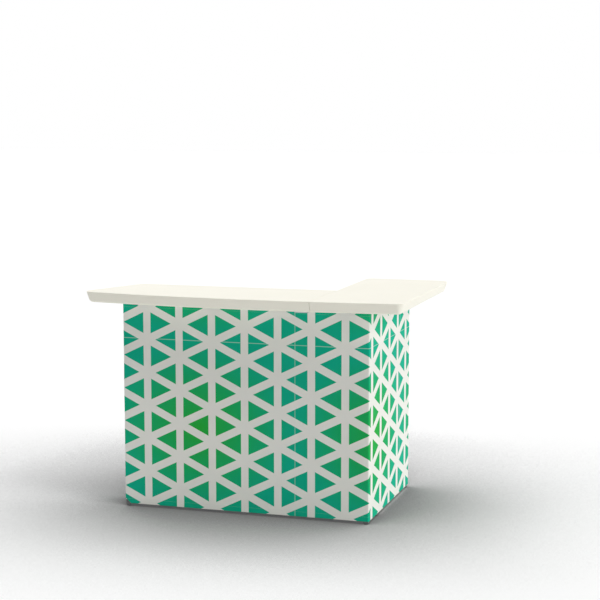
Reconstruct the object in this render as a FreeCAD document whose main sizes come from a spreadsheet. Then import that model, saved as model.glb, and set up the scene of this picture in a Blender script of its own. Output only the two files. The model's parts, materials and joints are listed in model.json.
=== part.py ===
import FreeCAD, Part
import itertools
import math
import os
import re

import Sketcher

# Portable L-shaped bar: a shallow tube-framed box along the front, a hinged wing along the right side,
# printed cloth panels on both, and a two-piece moulded counter that lifts off.
# Millimetres and degrees, +Z up, guests stand at -Y. The origin is on the floor under the middle of the
# outer box.

SIZES = {
    # Overall box and the place of the base under the counter.
    "overall_length": 1555,
    "overall_depth": 1034,
    "counter_height": 1067,
    "base_width": 1225,
    "overhang_right": 205,
    "overhang_front": 244,
    "box_depth": 190,
    # Counter: outline, edge and shell.
    "counter_thickness": 51,
    "counter_wall": 4,
    "main_reach": 218,
    "return_reach": 219.5,
    "seam_gap": 1.6,
    "bow_radius": 5200,
    "bow_apex_reach": 705,
    "end_slant": 22,
    "end_radius": 50,
    "corner_radius": 34,
    "far_corner_radius": 60,
    "back_corner_radius": 34,
    "edge_draft": 19,
    "edge_round": 16,
    "edge_break": 2.5,
    # Square tube and the moulded connectors and plugs in its ends.
    "tube_side": 25,
    "tube_wall": 1.5,
    "tube_corner": 2.5,
    "fit_gap": 0.1,
    "spigot_length": 35,
    "plug_length": 24,
    "side_rail_height": 70,
    # Screws through the tubes.
    "screw_radius": 2.5,
    "screw_head_radius": 4.5,
    "screw_head_height": 2.2,
    "screw_bite": 16,
    # Arms across the box that carry the tops, and the pegs on them.
    "arm_width": 30,
    "arm_thickness": 12,
    "arm_corner": 2,
    "arm_reach": 110,
    "main_arm_inset": 110,
    "main_arm_seam_inset": 165,
    "return_arm_seam_inset": 85,
    "return_arm_inset": 72,
    "arm_screw_bite": 8,
    "peg_radius": 6,
    "peg_height": 16,
    "peg_tip": 2,
    "tenon_radius": 4,
    "socket_gap": 0.4,
    "socket_extra": 2,
    "boss_wall": 5,
    # Shelves and what holds them.
    "shelf_thickness": 15,
    "shelf_corner": 3,
    "shelf_gap": 1,
    "upper_shelf_height": 620,
    "angle_leg": 25,
    "angle_thickness": 2,
    "angle_rivet_drop": 14,
    "bracket_reach": 60,
    "shelf_screw_inset": 16,
    "shelf_screw_margin": 55,
    "shelf_screw_bite": 10,
    # Rivets.
    "rivet_radius": 2,
    "rivet_head_radius": 3.6,
    "rivet_head_height": 1.4,
    # Butt hinges between the box and the wing.
    "hinge_gap": 5,
    "leaf_thickness": 2,
    "leaf_length": 75,
    "leaf_width": 20,
    "knuckle_radius": 4.5,
    "knuckle_gap": 0.4,
    "knuckle_offset": 0.6,
    "pin_radius": 2.5,
    "running_gap": 0.06,
    "lowest_hinge_height": 190,
    "highest_hinge_drop": 162,
    "leaf_rivet_inset": 16,
    # Wing.
    "swing_gap": 0.5,
    "wing_rail_height": 105,
    "wing_post_clearance": 24,
    "cap_thickness": 3,
    # Feet.
    "foot_height": 5,
    "foot_radius": 13,
    "foot_chamfer": 1.5,
    "stud_radius": 4,
    "stud_length": 20,
    "stud_seat_extra": 3,
    # Cloth panels and the tape that holds them.
    "wrap_thickness": 1.2,
    "tape_thickness": 2.3,
    "tape_width": 12,
    "hem_height": 15,
    "wrap_top_gap": 14,
    "wrap_clip_width": 24,
    "wrap_clip_height": 20,
    # Latches under the seam.
    "front_latch_reach": 120,
    "rear_latch_reach": 95,
    "latch_pivot_reach": 45,
    "latch_pivot_drop": 11,
    "latch_plate_thickness": 2,
    "latch_plate_length": 46,
    "latch_plate_width": 30,
    "lug_width": 10,
    "lug_length": 12,
    "lug_below_pivot": 4.5,
    "pivot_radius": 1.5,
    "lever_width": 16,
    "lever_height": 8,
    "lever_length": 54,
    "lever_nose": 5,
    "lever_fork_depth": 14,
    "lever_ear_start": 3,
    "lever_ear_rise": 7,
    "lever_side_gap": 0.4,
    "bail_wire_radius": 1.6,
    "bail_back": 8,
    "bail_rise": 4,
    "bail_peg_depth": 2,
    "keeper_reach": 14,
    "keeper_thickness": 2,
    "keeper_tab_width": 13,
    "keeper_tab_height": 10,
    "keeper_plate_length": 40,
    "keeper_gap": 1.4,
    "latch_screw_radius": 1.6,
    "latch_screw_head_radius": 3,
    "latch_screw_head_height": 1.4,
    "latch_screw_bite": 3,
    "latch_screw_inset": 5,
    # Length by which a cutting solid runs past the faces that it opens.
    "overrun": 5,
}

doc = FreeCAD.newDocument("portable_bar")
sheet = doc.addObject("Spreadsheet::Sheet", "Sizes")
for row, (alias, value) in enumerate(SIZES.items(), start=1):
    sheet.set(f"A{row}", alias)
    sheet.set(f"B{row}", str(value))
    sheet.setAlias(f"B{row}", alias)
doc.recompute()

nodes = []


def linked(text):
    """A sum of sizes, written so that the document finds their cells."""
    return re.sub(
        r"[a-z_]+",
        lambda word: f"Sizes.{word.group()}" if word.group() in SIZES else word.group(),
        text,
    )


def bind(obj, prop, text):
    """Ties a property to a sum of sheet cells."""
    obj.setExpression(prop, linked(text))


def value_of(text):
    """Value of a sum of sheet cells."""
    return float(sheet.evalExpression(linked(text)))


def node(obj):
    """Keeps an object as one piece of the bar."""
    nodes.append(obj)
    return obj


def block(name, low, high):
    """Box between two corners."""
    box = doc.addObject("Part::Box", name)
    for side, axis, start, stop in zip(("Length", "Width", "Height"), "xyz", low, high):
        bind(box, side, f"({stop}) - ({start})")
        bind(box, f"Placement.Base.{axis}", start)
    return box


TURNS = {
    "x": FreeCAD.Rotation(FreeCAD.Vector(0, 1, 0), 90),
    "y": FreeCAD.Rotation(FreeCAD.Vector(1, 0, 0), -90),
    "z": FreeCAD.Rotation(),
}


def bar(name, axis, centre, radius, start, stop):
    """Round bar along an axis; centre gives the other two places in x, y, z order."""
    rod = doc.addObject("Part::Cylinder", name)
    bind(rod, "Radius", radius)
    bind(rod, "Height", f"({stop}) - ({start})")
    rod.Placement.Rotation = TURNS[axis]
    place = list(centre)
    place.insert("xyz".index(axis), start)
    for letter, text in zip("xyz", place):
        bind(rod, f"Placement.Base.{letter}", text)
    return rod


def rounded(name, axis, low, high, radius):
    """Box between two corners, with its four edges along an axis rounded."""
    along = "xyz".index(axis)
    across = [place for place in range(len(low)) if place != along]
    insets = [(f"({low[place]}) + {radius}", f"({high[place]}) - {radius}") for place in across]
    pieces = []
    for place, inset in zip(across, insets):
        start = list(low)
        stop = list(high)
        start[place], stop[place] = inset
        pieces.append(block(f"{name}_core_{place}", start, stop))
    for number, centre in enumerate(itertools.product(*insets)):
        pieces.append(bar(f"{name}_edge_{number}", axis, centre, radius, low[along], high[along]))
    return union(name, pieces)


def ball(name, centre, radius):
    """Ball about a point."""
    sphere = doc.addObject("Part::Sphere", name)
    bind(sphere, "Radius", radius)
    for letter, text in zip("xyz", centre):
        bind(sphere, f"Placement.Base.{letter}", text)
    return sphere


def union(name, pieces):
    """Pieces joined into one solid."""
    fused = doc.addObject("Part::MultiFuse", name)
    fused.Shapes = pieces
    fused.Refine = True
    return fused


def less(name, base, tools):
    """Base with the tools cut away."""
    result = doc.addObject("Part::Cut", name)
    result.Base = base
    result.Tool = tools[0] if len(tools) == 1 else union(f"{name}_cutters", tools)
    return result


def common(name, base, tool):
    """What two solids share."""
    result = doc.addObject("Part::Common", name)
    result.Base = base
    result.Tool = tool
    return result


def group(name, pieces):
    """Separate solids kept as one piece of the bar."""
    bundle = doc.addObject("Part::Compound", name)
    bundle.Links = pieces
    return bundle


def tube(name, axis, low, high, holes=()):
    """Square tube with rounded edges along an axis, open at both ends, with any holes through its walls."""
    along = "xyz".index(axis)
    inner_low = [f"({text}) + tube_wall" for text in low]
    inner_high = [f"({text}) - tube_wall" for text in high]
    inner_low[along] = f"({low[along]}) - overrun"
    inner_high[along] = f"({high[along]}) + overrun"
    outer = rounded(f"{name}_outer", axis, low, high, "tube_corner")
    inner = block(f"{name}_inner", inner_low, inner_high)
    return less(name, outer, [inner, *holes])


def connector(name, low, arms, holes=()):
    """Moulded cube with a spigot into each tube that meets it."""
    high = [f"{text} + tube_side" for text in low]
    pieces = [block(f"{name}_cube", low, high)]
    for axis, sign in arms:
        along = "xyz".index(axis)
        start = [f"{text} + tube_wall + fit_gap" for text in low]
        stop = [f"{text} - tube_wall - fit_gap" for text in high]
        if sign > 0:
            start[along] = high[along]
            stop[along] = f"{high[along]} + spigot_length"
        else:
            start[along] = f"{low[along]} - spigot_length"
            stop[along] = low[along]
        pieces.append(block(f"{name}_spigot_{axis}", start, stop))
    body = union(f"{name}_body", pieces)
    return less(name, body, list(holes)) if holes else body


def plug(name, axis, low, length, holes):
    """Square plug in a tube end; low is the tube's corner at the plug's lower end."""
    along = "xyz".index(axis)
    start = [f"{text} + tube_wall + fit_gap" for text in low]
    stop = [f"{text} + tube_side - tube_wall - fit_gap" for text in low]
    start[along] = low[along]
    stop[along] = f"{low[along]} + {length}"
    return less(name, block(f"{name}_blank", start, stop), holes)


def headed(name, axis, centre, shank, shank_span, head, head_span):
    """Screw or rivet: a shank with a round head; spans are (start, stop) along the axis."""
    return union(name, [
        bar(f"{name}_shank", axis, centre, shank, *shank_span),
        bar(f"{name}_head", axis, centre, head, *head_span),
    ])


def rivet(name, axis, centre, face, sign, grip, flush):
    """Rivet through a plate on a tube wall: face is the wall's outer face, sign points out of the tube."""
    way = "+" if sign > 0 else "-"
    back = "-" if sign > 0 else "+"
    outer = f"{face} {way} {grip}"
    inner = f"{face} {back} tube_wall"
    tail = f"{inner} {back} rivet_head_height"
    top = f"{outer} {way} rivet_head_height"
    pieces = [
        bar(f"{name}_shank", axis, centre, "rivet_radius", *ordered(inner, outer, sign)),
        bar(f"{name}_tail", axis, centre, "rivet_head_radius", *ordered(tail, inner, sign)),
    ]
    if not flush:
        pieces.append(bar(f"{name}_head", axis, centre, "rivet_head_radius", *ordered(outer, top, sign)))
    return union(name, pieces)


def ordered(first, second, sign):
    """Two places in rising order."""
    return (first, second) if sign > 0 else (second, first)


def rivet_hole(name, axis, centre, face):
    """Cutter for a rivet's hole in a plate or wall at a face."""
    reach = "(angle_thickness + leaf_thickness + tube_wall)"
    return bar(name, axis, centre, "rivet_radius + fit_gap", f"{face} - {reach}", f"{face} + {reach}")


# Places shared by the pieces.
BASE_RIGHT = "(overall_length / 2 - overhang_right)"
BASE_LEFT = f"({BASE_RIGHT} - base_width)"
BASE_FRONT = "(overhang_front - overall_depth / 2)"
BOX_BACK = f"({BASE_FRONT} + box_depth)"
SKIN = "(wrap_thickness + tape_thickness)"
FRAME_LEFT = f"({BASE_LEFT} + {SKIN})"
FRAME_RIGHT = f"({BASE_RIGHT} - {SKIN})"
FRAME_FRONT = f"({BASE_FRONT} + {SKIN})"
MIDDLE = f"(({BASE_LEFT} + {BASE_RIGHT}) / 2)"
SEAM = f"({BASE_RIGHT} - return_reach)"
UNDERSIDE = "(counter_height - counter_thickness)"
FRAME_TOP = f"({UNDERSIDE} - arm_thickness)"
RAIL_TOP = "(foot_height + tube_side)"
POST_TOP = f"({FRAME_TOP} - tube_side)"
WING_FRONT = f"({BOX_BACK} + hinge_gap)"
WING_BACK = "(overall_depth / 2 - screw_head_height)"
WING_TOP = f"({UNDERSIDE} - swing_gap)"
WRAP_TOP = f"({UNDERSIDE} - wrap_top_gap)"

# The low corner of each post of the box.
LEFT_POST = FRAME_LEFT
RIGHT_POST = f"({FRAME_RIGHT} - tube_side)"
FRONT_POST = FRAME_FRONT
BACK_POST = f"({BOX_BACK} - tube_side)"
MIDDLE_POST = f"({MIDDLE} - tube_side / 2)"


def mid(low):
    """Middle of a tube, from its low side."""
    return f"{low} + tube_side / 2"


# Counter blank: one drafted and rounded L, later cut in two at the seam.
def counter_outline(body, name, inset):
    """Sketch of the counter seen from above, at the height of its top face, drawn in by an inset."""
    radius_texts = {
        alias: f"max({alias} - {inset}; counter_wall)"
        for alias in ("corner_radius", "far_corner_radius", "back_corner_radius", "end_radius")
    }
    inset_value = value_of(inset)
    right = value_of("overall_length / 2") - inset_value
    back = value_of("overall_depth / 2") - inset_value
    inner = value_of(SEAM) + inset_value
    main_back = value_of(f"{BASE_FRONT} + main_reach") - inset_value
    bow = value_of("bow_radius") - inset_value
    corner = value_of(radius_texts["corner_radius"])
    far = value_of(radius_texts["far_corner_radius"])
    small = value_of(radius_texts["back_corner_radius"])
    end = value_of(radius_texts["end_radius"])
    slant = math.radians(value_of("end_slant"))
    vector = FreeCAD.Vector

    def beside_bow(x, radius):
        """Middle of a corner arc that touches the bowed front from inside."""
        rise = math.sqrt((bow - radius) ** 2 - (x - bow_mid.x) ** 2)
        return vector(x, bow_mid.y - rise)

    def on_bow(middle, radius):
        """Point where such an arc touches the front."""
        return middle + (middle - bow_mid).normalize() * radius

    def arc(middle, radius, first, last):
        angles = [math.atan2(point.y - middle.y, point.x - middle.x) for point in (first, last)]
        return Part.ArcOfCircle(Part.Circle(middle, vector(0, 0, 1), radius), *angles)

    bow_mid = vector(value_of("overall_length / 2 - bow_apex_reach"), bow - back)
    end_mid = beside_bow(end - right, end)
    front_mid = beside_bow(right - corner, corner)
    right_mid = vector(right - far, back - far)
    arm_mid = vector(inner + small, back - small)
    outward = vector(-math.cos(slant), math.sin(slant))
    slant_start = end_mid + outward * end
    left_y = main_back - small
    left_x = slant_start.x + (left_y - slant_start.y) * math.tan(slant) + small / math.cos(slant)
    left_mid = vector(left_x, left_y)
    slant_stop = left_mid + outward * small
    bow_start = on_bow(end_mid, end)
    bow_stop = on_bow(front_mid, corner)
    inner_corner = vector(inner, main_back)
    front_stop = front_mid + vector(corner, 0)
    right_start = right_mid + vector(far, 0)
    right_stop = right_mid + vector(0, far)

    sketch = body.newObject("Sketcher::SketchObject", name)
    plane = next(item for item in body.Origin.OriginFeatures if item.Role == "XY_Plane")
    sketch.AttachmentSupport = (plane, [""])
    sketch.MapMode = "FlatFace"
    bind(sketch, "AttachmentOffset.Base.z", "counter_height")
    edges = sketch.addGeometry([
        arc(bow_mid, bow, bow_start, bow_stop),
        arc(front_mid, corner, bow_stop, front_stop),
        Part.LineSegment(front_stop, right_start),
        arc(right_mid, far, right_start, right_stop),
        Part.LineSegment(right_stop, arm_mid + vector(0, small)),
        arc(arm_mid, small, arm_mid + vector(0, small), arm_mid - vector(small, 0)),
        Part.LineSegment(arm_mid - vector(small, 0), inner_corner),
        Part.LineSegment(inner_corner, left_mid + vector(0, small)),
        arc(left_mid, small, left_mid + vector(0, small), slant_stop),
        Part.LineSegment(slant_start, slant_stop),
        arc(end_mid, end, slant_start, bow_start),
    ], False)
    front, front_arc, right_side, right_arc, arm_side, arm_arc, *others = edges
    inner_side, main_side, left_arc, end_side, end_arc = others
    first, last, centre = 1, 2, 3
    origin = (-1, 1)
    smooth = [
        (front, last, front_arc, first),
        (front_arc, last, right_side, first),
        (right_side, last, right_arc, first),
        (right_arc, last, arm_side, first),
        (arm_side, last, arm_arc, first),
        (arm_arc, last, inner_side, first),
        (main_side, last, left_arc, first),
        (left_arc, last, end_side, last),
        (end_side, first, end_arc, first),
        (end_arc, last, front, first),
    ]
    for joint in smooth:
        sketch.addConstraint(Sketcher.Constraint("Tangent", *joint))
    sketch.addConstraint(Sketcher.Constraint("Coincident", inner_side, last, main_side, first))
    for upright in (right_side, inner_side):
        sketch.addConstraint(Sketcher.Constraint("Vertical", upright))
    for level in (arm_side, main_side):
        sketch.addConstraint(Sketcher.Constraint("Horizontal", level))

    def dimension(name, kind, items, text):
        index = sketch.addConstraint(Sketcher.Constraint(kind, *items, value_of(text)))
        sketch.renameConstraint(index, name)
        bind(sketch, f"Constraints.{name}", text)

    dimension("bow", "Radius", (front,), f"bow_radius - {inset}")
    dimension("front_round", "Radius", (front_arc,), radius_texts["corner_radius"])
    dimension("right_round", "Radius", (right_arc,), radius_texts["far_corner_radius"])
    dimension("arm_round", "Radius", (arm_arc,), radius_texts["back_corner_radius"])
    dimension("left_round", "Radius", (left_arc,), radius_texts["back_corner_radius"])
    dimension("end_round", "Radius", (end_arc,), radius_texts["end_radius"])
    dimension("right_edge", "DistanceX", (*origin, right_side, first), f"overall_length / 2 - {inset}")
    dimension("back_edge", "DistanceY", (*origin, arm_side, first), f"overall_depth / 2 - {inset}")
    dimension("arm_span", "DistanceX", (inner_side, first, right_side, first),
              f"overhang_right + return_reach - 2 * {inset}")
    dimension("arm_length", "DistanceY", (main_side, first, arm_side, first),
              "overall_depth - overhang_front - main_reach")
    dimension("bow_place", "DistanceX", (front, centre, right_side, first), f"bow_apex_reach - {inset}")
    dimension("bow_depth", "DistanceY", (*origin, front, centre), "bow_radius - overall_depth / 2")
    dimension("end_place", "DistanceX", (end_arc, centre, *origin),
              f"overall_length / 2 - {inset} - {radius_texts['end_radius']}")
    sketch.addConstraint(Sketcher.Constraint("Angle", end_side, math.pi / 2 - slant))
    bind(sketch, f"Constraints[{sketch.ConstraintCount - 1}]", "90 deg - end_slant * 1 deg")
    return sketch


def level_edges(shape, height):
    """Names of the edges that lie at one height."""
    return [
        f"Edge{number}"
        for number, edge in enumerate(shape.Edges, start=1)
        if all(math.isclose(vertex.Z, height, abs_tol=value_of("running_gap")) for vertex in edge.Vertexes)
    ]


blank = doc.addObject("PartDesign::Body", "counter_blank")
outline = counter_outline(blank, "counter_outline", "0")
slab = blank.newObject("PartDesign::Pad", "counter_slab")
slab.Profile = outline
slab.Reversed = True
bind(slab, "Length", "counter_thickness")
bind(slab, "TaperAngle", "-edge_draft")
doc.recompute()
lower_round = blank.newObject("PartDesign::Fillet", "counter_lower_round")
lower_round.Base = (slab, level_edges(slab.Shape, value_of(UNDERSIDE)))
LEAST_CORNER = "(back_corner_radius - counter_thickness * tan(edge_draft) - running_gap)"
bind(lower_round, "Radius", f"min(edge_round; {LEAST_CORNER})")
doc.recompute()
upper_break = blank.newObject("PartDesign::Fillet", "counter_upper_break")
upper_break.Base = (lower_round, level_edges(lower_round.Shape, value_of("counter_height")))
bind(upper_break, "Radius", "edge_break")

# Hollow of the moulded counter, clear of the drafted and rounded edges.
HOLLOW_INSET = "(counter_thickness * tan(edge_draft) + edge_round / 2 + counter_wall)"
hollow_blank = doc.addObject("PartDesign::Body", "hollow_blank")
hollow_slab = hollow_blank.newObject("PartDesign::Pad", "hollow_slab")
hollow_slab.Profile = counter_outline(hollow_blank, "hollow_outline", HOLLOW_INSET)
hollow_slab.Reversed = True
bind(hollow_slab, "Length", "counter_thickness - 2 * counter_wall")
bind(hollow_blank, "Placement.Base.z", "-counter_wall")

# Arms: each runs from the back of the box to under the front overhang.
ARM_PLACES = {
    "main_left": f"({BASE_LEFT} + main_arm_inset)",
    "main_middle": f"(({BASE_LEFT} + main_arm_inset + {SEAM} - main_arm_seam_inset) / 2)",
    "main_seam": f"({SEAM} - main_arm_seam_inset)",
    "return_seam": f"({SEAM} + return_arm_seam_inset)",
    "return_right": f"({BASE_RIGHT} - return_arm_inset)",
}
PEG_ARMS = {"main": ("main_left", "main_seam"), "return": ("return_seam", "return_right")}
PEG_Y = f"(({FRAME_FRONT} + {BOX_BACK}) / 2)"
PEG_TOP = f"({UNDERSIDE} + peg_height)"
LATCHES = {"front": f"({BASE_FRONT} - front_latch_reach)", "rear": f"({BASE_FRONT} + rear_latch_reach)"}
PIVOT_X = f"({SEAM} - latch_pivot_reach)"
PIVOT_Z = f"({UNDERSIDE} - latch_pivot_drop)"
KEEPER_X = f"({SEAM} + keeper_reach)"
LATCH_SCREWS = (
    f"({PIVOT_X} - latch_plate_length / 2 + latch_screw_inset)",
    f"({PIVOT_X} + latch_plate_length / 2 - latch_screw_inset)",
)
KEEPER_SCREWS = (
    f"({KEEPER_X} + keeper_plate_length / 2)",
    f"({KEEPER_X} + keeper_plate_length - latch_screw_inset)",
)


def counter_top(side, low_x, high_x, screw_places):
    """One top: its half of the blank, hollow, with bosses and sockets for pegs and pilot holes for screws."""
    far = "(overall_length + overall_depth)"

    def half(name, wall):
        return block(name, (f"{low_x} + {wall}", f"-{far}", "0"),
                     (f"{high_x} - {wall}", far, "2 * counter_height"))

    solid = common(f"{side}_blank", blank, half(f"{side}_half", "0"))
    space = common(f"{side}_space", hollow_blank, half(f"{side}_space_half", "counter_wall"))
    bosses = []
    cutters = []
    for arm in PEG_ARMS[side]:
        centre = (ARM_PLACES[arm], PEG_Y)
        bosses.append(bar(f"{arm}_boss", "z", centre, "peg_radius + socket_gap + boss_wall", UNDERSIDE,
                          f"{PEG_TOP} + socket_extra + boss_wall"))
        cutters.append(bar(f"{arm}_socket", "z", centre, "peg_radius + socket_gap", f"{UNDERSIDE} - overrun",
                           f"{PEG_TOP} + socket_extra"))
    for latch, y in LATCHES.items():
        for number, x in enumerate(screw_places):
            cutters.append(bar(f"{side}_{latch}_pilot_{number}", "z", (x, y), "latch_screw_radius + fit_gap",
                               f"{UNDERSIDE} - overrun", f"{UNDERSIDE} + latch_screw_bite + fit_gap"))
    shell = less(f"{side}_shell", solid, [less(f"{side}_hollow", space, bosses)])
    return node(less(f"{side}_top", shell, cutters))


counter_top("main", "-overall_length", f"({SEAM} - seam_gap / 2)", LATCH_SCREWS)
counter_top("return", f"({SEAM} + seam_gap / 2)", "overall_length", KEEPER_SCREWS)


# Box frame. Screws that join side rails and the middle post run through the tubes into plugs.
def frame_screw(name, axis, centre, face, sign):
    """Screw whose head sits on a tube's face and whose shank crosses the tube and bites into a plug."""
    if sign > 0:
        spans = ((face, f"{face} + tube_side + screw_bite"), (f"{face} - screw_head_height", face))
    else:
        spans = ((f"{face} - tube_side - screw_bite", face), (face, f"{face} + screw_head_height"))
    return headed(name, axis, centre, "screw_radius", spans[0], "screw_head_radius", spans[1])


def screw_hole(name, axis, centre, face, sign):
    """Cutter for that screw."""
    if sign > 0:
        span = (f"{face} - overrun", f"{face} + tube_side + screw_bite + fit_gap")
    else:
        span = (f"{face} - tube_side - screw_bite - fit_gap", f"{face} + overrun")
    return bar(name, axis, centre, "screw_radius + fit_gap", *span)


SIDE_RAIL_Z = "(side_rail_height + tube_side / 2)"
SHELF_Z = "upper_shelf_height"
ANGLE_RIVET_Z = f"({SHELF_Z} - angle_rivet_drop)"
HIGHEST_HINGE = f"({UNDERSIDE} - highest_hinge_drop)"
HINGE_HEIGHTS = {
    "low": "lowest_hinge_height",
    "middle": f"((lowest_hinge_height + {HIGHEST_HINGE}) / 2)",
    "high": HIGHEST_HINGE,
}
LEAF_RIVETS = {
    "lower": "- leaf_length / 2 + leaf_rivet_inset",
    "upper": "+ leaf_length / 2 - leaf_rivet_inset",
}
HINGE_RIVET_X = f"({RIGHT_POST} + tube_side / 2)"


def leaf_rivet_places():
    """Centre of each rivet of the three leaves on one face, in x and z."""
    return {
        f"{height}_{row}": (HINGE_RIVET_X, f"({z} {step})")
        for height, z in HINGE_HEIGHTS.items()
        for row, step in LEAF_RIVETS.items()
    }


POSTS = {
    "front_left": (LEFT_POST, FRONT_POST),
    "front_right": (RIGHT_POST, FRONT_POST),
    "back_left": (LEFT_POST, BACK_POST),
    "back_right": (RIGHT_POST, BACK_POST),
}


def side_rail_screw(corner):
    """Centre, face and direction of the screw through a post into its side rail."""
    x, y = POSTS[corner]
    front = corner.startswith("front")
    face = FRAME_FRONT if front else BOX_BACK
    return (mid(x), SIDE_RAIL_Z), face, 1 if front else -1


def angle_rivet(corner):
    """Centre, face and direction of the rivet that holds a shelf angle to a post."""
    x, y = POSTS[corner]
    left = corner.endswith("left")
    face = f"({x} + tube_side)" if left else x
    return (mid(y), ANGLE_RIVET_Z), face, 1 if left else -1


for corner, (x, y) in POSTS.items():
    holes = [screw_hole(f"{corner}_side_screw_hole", "y", *side_rail_screw(corner))]
    centre, face, sign = angle_rivet(corner)
    holes.append(rivet_hole(f"{corner}_angle_rivet_hole", "x", centre, face))
    if corner == "back_right":
        for place, spot in leaf_rivet_places().items():
            holes.append(rivet_hole(f"{corner}_{place}_leaf_hole", "y", spot, BOX_BACK))
    node(tube(f"{corner}_post", "z", (x, y, RAIL_TOP),
              (f"{x} + tube_side", f"{y} + tube_side", POST_TOP), holes))

middle_centre = (mid(MIDDLE_POST), mid(FRONT_POST))
middle_rivet = (mid(MIDDLE_POST), ANGLE_RIVET_Z)
middle_face = f"({FRONT_POST} + tube_side)"
node(tube("front_middle_post", "z", (MIDDLE_POST, FRONT_POST, RAIL_TOP),
          (f"{MIDDLE_POST} + tube_side", middle_face, POST_TOP),
          [rivet_hole("middle_bracket_rivet_hole", "y", middle_rivet, middle_face)]))

LONG_RAILS = {"front": FRONT_POST, "back": BACK_POST}
for side, y in LONG_RAILS.items():
    for level, low_z in (("bottom", "foot_height"), ("top", POST_TOP)):
        holes = []
        if level == "top":
            for arm, x in ARM_PLACES.items():
                holes.append(bar(f"{side}_rail_{arm}_hole", "z", (x, mid(y)), "screw_radius + fit_gap",
                                 f"{FRAME_TOP} - 2 * tube_wall", f"{FRAME_TOP} + overrun"))
        if side == "front":
            face, sign = (FRAME_TOP, -1) if level == "top" else ("foot_height", 1)
            holes.append(screw_hole(f"front_{level}_middle_screw_hole", "z", middle_centre, face, sign))
        node(tube(f"{side}_{level}_rail", "x", (f"{LEFT_POST} + tube_side", y, low_z),
                  (RIGHT_POST, f"{y} + tube_side", f"{low_z} + tube_side"), holes))

plugs = []
screws = []
for side, x in (("left", LEFT_POST), ("right", RIGHT_POST)):
    for level, low_z in (("bottom", "side_rail_height"), ("top", POST_TOP)):
        node(tube(f"{side}_{level}_rail", "y", (x, f"{FRONT_POST} + tube_side", low_z),
                  (f"{x} + tube_side", BACK_POST, f"{low_z} + tube_side")))
    for end, start in (("front", f"{FRONT_POST} + tube_side"), ("back", f"{BACK_POST} - plug_length")):
        corner = f"{end}_{side}"
        hole = screw_hole(f"{corner}_plug_hole", "y", *side_rail_screw(corner))
        plugs.append(plug(f"{corner}_plug", "y", (x, start, "side_rail_height"), "plug_length", [hole]))
        screws.append(frame_screw(f"{corner}_side_screw", "y", *side_rail_screw(corner)))
for level, start, face, sign in (
    ("bottom", RAIL_TOP, "foot_height", 1),
    ("top", f"({POST_TOP} - plug_length)", FRAME_TOP, -1),
):
    hole = screw_hole(f"middle_{level}_plug_hole", "z", middle_centre, face, sign)
    plugs.append(plug(f"middle_{level}_plug", "z", (MIDDLE_POST, FRONT_POST, start), "plug_length", [hole]))
    screws.append(frame_screw(f"middle_{level}_screw", "z", middle_centre, face, sign))
node(group("frame_plugs", plugs))


# Feet: a pad and a stud, each in a seat in the frame above it.
def stud_seat(name, centre):
    """Cutter for the threaded seat of a foot."""
    return bar(name, "z", centre, "stud_radius + running_gap", "foot_height - overrun",
               "foot_height + stud_length + stud_seat_extra")


def foot(name, centre):
    """Levelling foot, turned about its own axis."""
    body = doc.addObject("PartDesign::Body", name)
    profile = body.newObject("Sketcher::SketchObject", f"{name}_profile")
    plane = next(item for item in body.Origin.OriginFeatures if item.Role == "XZ_Plane")
    profile.AttachmentSupport = (plane, [""])
    profile.MapMode = "FlatFace"
    corners = [
        ("0", "0"),
        ("foot_radius - foot_chamfer", "0"),
        ("foot_radius", "foot_chamfer"),
        ("foot_radius", "foot_height"),
        ("stud_radius", "foot_height"),
        ("stud_radius", "foot_height + stud_length"),
        ("0", "foot_height + stud_length"),
    ]
    points = [FreeCAD.Vector(*(value_of(text) for text in corner), 0) for corner in corners]
    for number, point in enumerate(points):
        profile.addGeometry(Part.LineSegment(point, points[(number + 1) % len(points)]), False)
    for number in range(len(points)):
        profile.addConstraint(Sketcher.Constraint("Coincident", number, 2, (number + 1) % len(points), 1))
    for number, (radius, height) in enumerate(corners):
        for kind, text in (("DistanceX", radius), ("DistanceY", height)):
            index = profile.addConstraint(Sketcher.Constraint(kind, -1, 1, number, 1, value_of(text)))
            bind(profile, f"Constraints[{index}]", text)
    turned = body.newObject("PartDesign::Revolution", f"{name}_turned")
    turned.Profile = profile
    turned.ReferenceAxis = (profile, ["V_Axis"])
    turned.Angle = 360
    for letter, text in zip("xy", centre):
        bind(body, f"Placement.Base.{letter}", text)
    return node(body)


# Corner connectors: elbows at the floor, three-way corners at the top.
elbows = []
corners_top = []
for corner, (x, y) in POSTS.items():
    inward = 1 if corner.endswith("left") else -1
    backward = 1 if corner.startswith("front") else -1
    seat = stud_seat(f"{corner}_seat", (mid(x), mid(y)))
    elbows.append(connector(f"{corner}_elbow", (x, y, "foot_height"), [("x", inward), ("z", 1)], [seat]))
    corners_top.append(connector(f"{corner}_corner", (x, y, POST_TOP),
                                 [("x", inward), ("y", backward), ("z", -1)]))
    foot(f"{corner}_foot", (mid(x), mid(y)))
node(group("bottom_connectors", elbows))
node(group("top_connectors", corners_top))

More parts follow.
